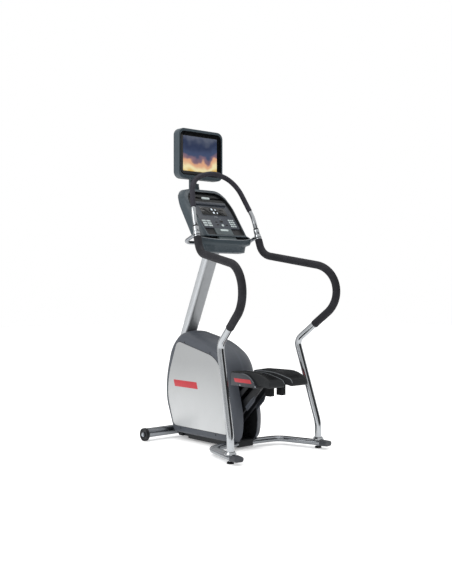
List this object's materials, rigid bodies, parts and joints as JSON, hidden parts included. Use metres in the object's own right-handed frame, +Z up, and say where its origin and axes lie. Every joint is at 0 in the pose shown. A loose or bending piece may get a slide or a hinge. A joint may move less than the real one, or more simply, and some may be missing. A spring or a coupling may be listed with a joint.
{
  "type": "stair climber",
  "caption": "Free-standing gym stepper with levelled pedals on swinging arms, a drive housing, wrap-around handrails with an arched grip, a mast, a console with bins and a tilting screen.",
  "frame": {"origin": "centre of the bounding box on the floor", "axes": "+Z up, +X to the user's right, the user stands at -Y and faces +Y towards the console"},
  "size_m": [0.8084, 1.0627, 1.976],
  "materials": {
    "chrome": "polished chrome plate",
    "satin_silver": "satin silver powder coat",
    "steel": "plain machined steel",
    "dark_paint": "semi-matt dark powder coat",
    "charcoal_plastic": "fine textured moulding",
    "slate_plastic": "fine textured moulding",
    "black_plastic": "textured moulding",
    "gloss_black": "gloss overlay",
    "light_keys": "smooth moulding",
    "rubber": "matt foam rubber",
    "silver_panel": "satin silver paint"
  },
  "bodies": {
    "root": {"front_stabilizer_tube": "satin_silver", "base_spine": "dark_paint", "rear_base_arc": "satin_silver", "rear_end_cap_right": "charcoal_plastic", "rear_end_cap_left": "charcoal_plastic", "leveling_foot_right": "rubber", "leveling_foot_left": "rubber", "wheel_bolt_right": "steel", "wheel_bolt_left": "steel", "upright_collar_right": "chrome", "upright_collar_left": "chrome", "handrail_right": "chrome", "handrail_left": "chrome", "handrail_grip_right": "rubber", "handrail_grip_left": "rubber", "lower_pulse_sensor_right": "chrome", "lower_pulse_sensor_left": "chrome", "sensor_ring_right": "black_plastic", "sensor_ring_left": "black_plastic", "upper_pulse_sensor_right": "chrome", "upper_pulse_sensor_left": "chrome", "arch_tube": "steel", "arch_grip": "rubber", "mast": "satin_silver", "console_bracket_tube": "satin_silver", "shroud_right": "charcoal_plastic", "shroud_left": "charcoal_plastic", "side_panel_right": "silver_panel", "side_panel_left": "silver_panel", "arm_shaft": "steel", "drive_belt": "rubber", "alternator_body": "steel", "return_spring_right": "steel", "return_spring_left": "steel", "console_shell": "slate_plastic", "console_tray": "slate_plastic", "console_face_panel": "gloss_black", "display_window": "gloss_black", "screen_post": "slate_plastic"},
    "left_arm": {"pedal_arm_left": "dark_paint"},
    "left_link": {"leveling_link_left": "dark_paint"},
    "left_pedal": {"pedal_left": "black_plastic", "link_cover_left": "charcoal_plastic", "stop_bumper_left": "rubber"},
    "left_clutch": {"clutch_sprocket_left": "steel"},
    "left_wheel": {"transport_wheel_left": "black_plastic"},
    "right_arm": {"pedal_arm_right": "dark_paint"},
    "right_link": {"leveling_link_right": "dark_paint"},
    "right_pedal": {"pedal_right": "black_plastic", "link_cover_right": "charcoal_plastic", "stop_bumper_right": "rubber"},
    "right_clutch": {"clutch_sprocket_right": "steel"},
    "right_wheel": {"transport_wheel_right": "black_plastic"},
    "step_up": {"step_up_shaft": "steel"},
    "alternator_rotor": {"alternator_pulley": "steel"},
    "screen": {"screen_rear_housing": "slate_plastic", "screen_front_bezel": "slate_plastic", "screen_panel": "gloss_black"},
    "start_button": {"start_key": "light_keys"},
    "stop_button": {"stop_key": "light_keys"}
  },
  "joints": [
    {"name": "left_arm_swing", "type": "hinge", "parent": "root", "child": "left_arm", "pos_m": [0, 0.011, 0.125], "axis": [1, 0, 0], "range_deg": [0, 44], "stiffness_Nm_per_rad": 22, "springref_deg": -68.75, "deforming": ["return_spring_left"]},
    {"name": "left_pedal_level", "type": "hinge", "parent": "left_arm", "child": "left_pedal", "pos_m": [0, -0.284, 0.395], "axis": [1, 0, 0], "range_deg": [-44, 0]},
    {"name": "left_link_swing", "type": "hinge", "parent": "root", "child": "left_link", "pos_m": [0, 0.063, 0.155], "axis": [1, 0, 0], "range_deg": [0, 44]},
    {"name": "left_clutch_spin", "type": "hinge", "parent": "root", "child": "left_clutch", "pos_m": [0, 0.14, 0.365], "axis": [1, 0, 0], "range_deg": [0, 198]},
    {"name": "left_wheel_spin", "type": "hinge", "parent": "root", "child": "left_wheel", "pos_m": [0, 0.491, 0.041], "axis": [1, 0, 0], "continuous": true},
    {"name": "right_arm_swing", "type": "hinge", "parent": "root", "child": "right_arm", "pos_m": [0, 0.011, 0.125], "axis": [1, 0, 0], "range_deg": [0, 44], "stiffness_Nm_per_rad": 22, "springref_deg": -68.75, "deforming": ["return_spring_right"]},
    {"name": "right_pedal_level", "type": "hinge", "parent": "right_arm", "child": "right_pedal", "pos_m": [0, -0.284, 0.395], "axis": [1, 0, 0], "range_deg": [-44, 0]},
    {"name": "right_link_swing", "type": "hinge", "parent": "root", "child": "right_link", "pos_m": [0, 0.063, 0.155], "axis": [1, 0, 0], "range_deg": [0, 44]},
    {"name": "right_clutch_spin", "type": "hinge", "parent": "root", "child": "right_clutch", "pos_m": [0, 0.14, 0.365], "axis": [1, 0, 0], "range_deg": [0, 198]},
    {"name": "right_wheel_spin", "type": "hinge", "parent": "root", "child": "right_wheel", "pos_m": [0, 0.491, 0.041], "axis": [1, 0, 0], "continuous": true},
    {"name": "step_up_spin", "type": "hinge", "parent": "root", "child": "step_up", "pos_m": [0, 0.14, 0.365], "axis": [1, 0, 0], "continuous": true},
    {"name": "alternator_spin", "type": "hinge", "parent": "root", "child": "alternator_rotor", "pos_m": [0, 0.276, 0.165], "axis": [1, 0, 0], "continuous": true},
    {"name": "screen_tilt", "type": "hinge", "parent": "root", "child": "screen", "pos_m": [0, 0.392, 1.8], "axis": [1, 0, 0], "range_deg": [-15, 5]},
    {"name": "start_key_press", "type": "slide", "parent": "root", "child": "start_button", "axis": [0, 0.8721, -0.4894], "range_m": [0, 0.0015], "stiffness_N_per_m": 900},
    {"name": "stop_key_press", "type": "slide", "parent": "root", "child": "stop_button", "axis": [0, 0.8721, -0.4894], "range_m": [0, 0.0015], "stiffness_N_per_m": 900}
  ],
  "couplings": [
    {"joint": "left_pedal_level", "follows": "left_arm_swing", "ratio": -1},
    {"joint": "left_link_swing", "follows": "left_arm_swing", "ratio": 1},
    {"joint": "left_clutch_spin", "follows": "left_arm_swing", "ratio": 4.5},
    {"joint": "right_pedal_level", "follows": "right_arm_swing", "ratio": -1},
    {"joint": "right_link_swing", "follows": "right_arm_swing", "ratio": 1},
    {"joint": "right_clutch_spin", "follows": "right_arm_swing", "ratio": 4.5},
    {"joint": "alternator_spin", "follows": "step_up_spin", "ratio": 3.8}
  ]
}
